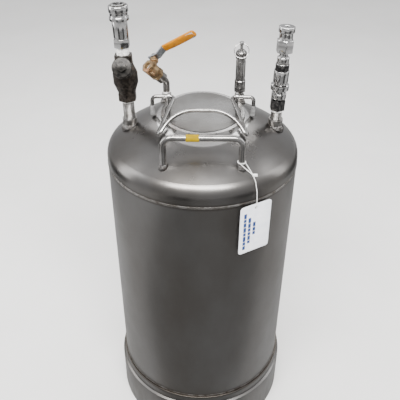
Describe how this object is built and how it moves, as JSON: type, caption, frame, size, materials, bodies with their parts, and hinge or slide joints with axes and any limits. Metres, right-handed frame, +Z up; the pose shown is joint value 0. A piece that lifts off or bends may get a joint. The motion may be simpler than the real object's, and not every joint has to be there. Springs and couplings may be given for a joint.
{
  "type": "stainless steel pressure vessel",
  "caption": "Upright stainless steel pressure vessel with a bail-clamped oval lid, carrying handle, check valve, ball valve, relief valve and quick couplers.",
  "frame": {"origin": "on the floor, on the vessel axis", "axes": "+Z up along the vessel axis, -Y the front with the carrying handle and tag, +X the side of the outlet coupler"},
  "size_m": [0.321, 0.321, 0.7633],
  "materials": {
    "vessel_steel": "satin brushed",
    "polished_steel": "polished",
    "fitting_steel": "machined",
    "chrome": "bright",
    "dark_casting": "matt",
    "black_fitting": "satin",
    "brass": "aged",
    "zinc": "zinc plated",
    "vinyl_grip": "soft vinyl",
    "yellow_tape": "tape",
    "thread_tape": "tape",
    "rubber": "matt",
    "card": "coated",
    "nylon": "translucent"
  },
  "bodies": {
    "tank": {"ball_valve_body": "brass", "ball_valve_end_cap": "brass", "ball_valve_seats": "thread_tape", "bottom_head": "vessel_steel", "check_hinge_pin": "fitting_steel", "check_valve_body": "dark_casting", "check_valve_bonnet": "fitting_steel", "coupler_body": "chrome", "coupler_poppet_spring": "fitting_steel", "coupler_seal": "rubber", "coupler_sleeve_spring": "fitting_steel", "dip_tube": "fitting_steel", "foot_skirt": "vessel_steel", "front_handle": "polished_steel", "gas_inlet_tube": "fitting_steel", "girth_welds": "vessel_steel", "handle_band": "yellow_tape", "left_nipple": "fitting_steel", "left_upper_nipple": "fitting_steel", "lock_balls": "fitting_steel", "packing_nut": "brass", "port_coupling_gas": "fitting_steel", "port_coupling_left": "fitting_steel", "port_coupling_relief": "fitting_steel", "port_coupling_right": "fitting_steel", "relief_body": "chrome", "relief_cap": "chrome", "relief_nipple": "fitting_steel", "relief_spring": "fitting_steel", "right_adapter": "black_fitting", "right_nipple": "fitting_steel", "shell_cylinder": "vessel_steel", "sleeve_stop_rings": "fitting_steel", "socket_body": "chrome", "socket_sleeve_spring": "fitting_steel", "street_elbow": "fitting_steel", "tag_tie": "nylon", "thread_tape": "thread_tape", "top_head": "vessel_steel", "weld_beads": "polished_steel"},
    "lid": {"lid_plate": "vessel_steel", "lid_seal": "rubber", "lid_lugs": "polished_steel"},
    "bail": {"bail": "polished_steel", "bail_feet": "rubber"},
    "valve_handle": {"valve_ball": "chrome", "valve_stem": "brass", "valve_lever": "zinc", "lever_grip": "vinyl_grip", "lever_nut": "fitting_steel"},
    "coupler_sleeve": {"coupler_sleeve": "chrome"},
    "coupler_poppet": {"coupler_poppet": "fitting_steel"},
    "socket_sleeve": {"socket_sleeve": "chrome", "socket_sleeve_band": "black_fitting"},
    "hose_plug": {"hose_plug": "chrome"},
    "relief_stem": {"relief_stem": "chrome", "relief_disc": "fitting_steel"},
    "pull_ring": {"pull_ring": "chrome"},
    "check_disc": {"check_disc": "fitting_steel"},
    "tag": {"tag": "card"}
  },
  "joints": [
    {"name": "lid_drop", "type": "slide", "parent": "tank", "child": "lid", "axis": [0, 0, -1], "range_m": [0, 0.0079]},
    {"name": "bail_swing", "type": "hinge", "parent": "lid", "child": "bail", "pos_m": [0, 0.002, 0.6235], "axis": [-1, 0, 0], "range_deg": [0, 100], "deforming": ["bail_feet"]},
    {"name": "valve_turn", "type": "hinge", "parent": "tank", "child": "valve_handle", "pos_m": [-0.07912, 0.05262, 0.64436], "axis": [-0.004, -0.866, -0.5], "range_deg": [0, 90]},
    {"name": "coupler_sleeve_slide", "type": "slide", "parent": "tank", "child": "coupler_sleeve", "axis": [0.0314, 0, -0.9995], "range_m": [0, 0.005], "stiffness_N_per_m": 1200, "springref_m": -0.002, "deforming": ["coupler_sleeve_spring"]},
    {"name": "coupler_poppet_slide", "type": "slide", "parent": "tank", "child": "coupler_poppet", "axis": [0.0314, 0, -0.9995], "range_m": [0, 0.004], "stiffness_N_per_m": 600, "springref_m": -0.002, "deforming": ["coupler_poppet_spring"]},
    {"name": "socket_sleeve_slide", "type": "slide", "parent": "tank", "child": "socket_sleeve", "axis": [-0.0314, 0, -0.9995], "range_m": [0, 0.004], "stiffness_N_per_m": 1200, "springref_m": -0.002, "deforming": ["socket_sleeve_spring"]},
    {"name": "plug_pull", "type": "slide", "parent": "tank", "child": "hose_plug", "axis": [0.0314, 0, 0.9995], "range_m": [0, 0.03]},
    {"name": "relief_lift", "type": "slide", "parent": "tank", "child": "relief_stem", "axis": [0, 0, 1], "range_m": [0, 0.003], "stiffness_N_per_m": 4000, "springref_m": -0.002, "deforming": ["relief_spring"]},
    {"name": "pull_ring_swing", "type": "hinge", "parent": "relief_stem", "child": "pull_ring", "pos_m": [0.06, 0.066, 0.68503], "axis": [-1, 0, 0], "range_deg": [0, 120]},
    {"name": "check_disc_swing", "type": "hinge", "parent": "tank", "child": "check_disc", "pos_m": [-0.11573, 0.01, 0.64553], "axis": [-0.9995, 0, -0.0314], "range_deg": [0, 35]},
    {"name": "tag_swing", "type": "hinge", "parent": "tank", "child": "tag", "pos_m": [0.0781, -0.13527, 0.515], "axis": [-0.866, -0.5, 0], "range_deg": [0, 25]}
  ],
  "couplings": [
    {"joint": "lid_drop", "follows": "bail_swing", "m_per_rad": 0.0045}
  ]
}
